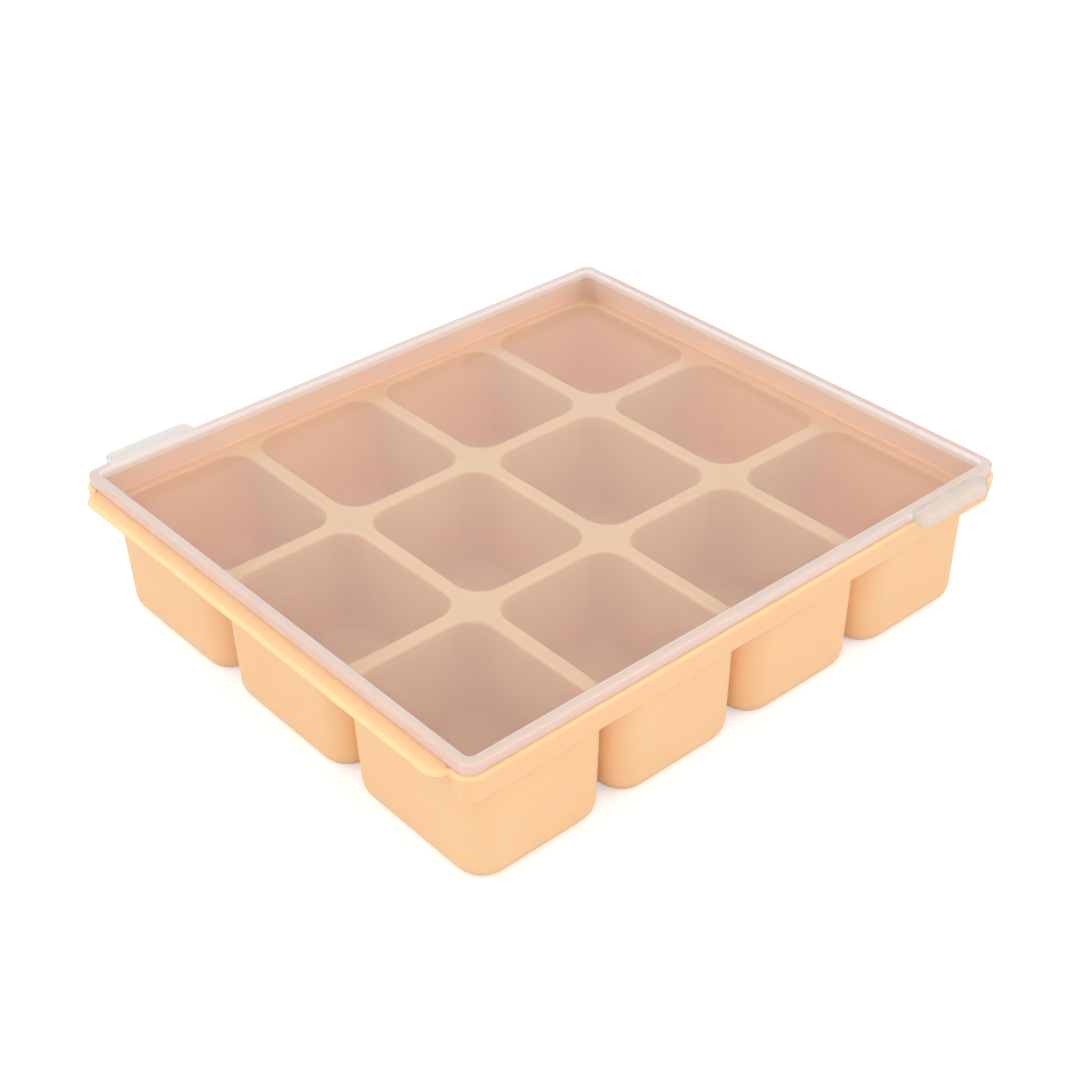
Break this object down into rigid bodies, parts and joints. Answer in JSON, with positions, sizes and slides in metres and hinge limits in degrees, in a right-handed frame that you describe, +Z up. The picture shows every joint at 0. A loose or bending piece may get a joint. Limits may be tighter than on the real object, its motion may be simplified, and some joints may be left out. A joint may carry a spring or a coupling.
{
  "type": "food freezer tray",
  "caption": "Shallow silicone freezer tray with a grid of tapered food cups under one deck, a grip lip at each end and a frosted lift-off lid with pull tabs.",
  "frame": {"origin": "under the middle of the tray, on the plane that the cups stand on", "axes": "+X along the four cups of a row, the longest way; +Y across the three rows; +Z up, out of the cups' mouths"},
  "size_m": [0.2086, 0.1858, 0.0469],
  "materials": {
    "silicone": "smooth matt platinum-cured silicone, warm peach",
    "frosted_plastic": "thin translucent polypropylene, lightly frosted"
  },
  "bodies": {
    "tray": {"tray": "silicone"},
    "lid": {"lid": "frosted_plastic"}
  },
  "joints": [
    {"name": "lid_lift", "type": "slide", "parent": "tray", "child": "lid", "axis": [0, 0, 1], "range_m": [0, 0.06]}
  ]
}
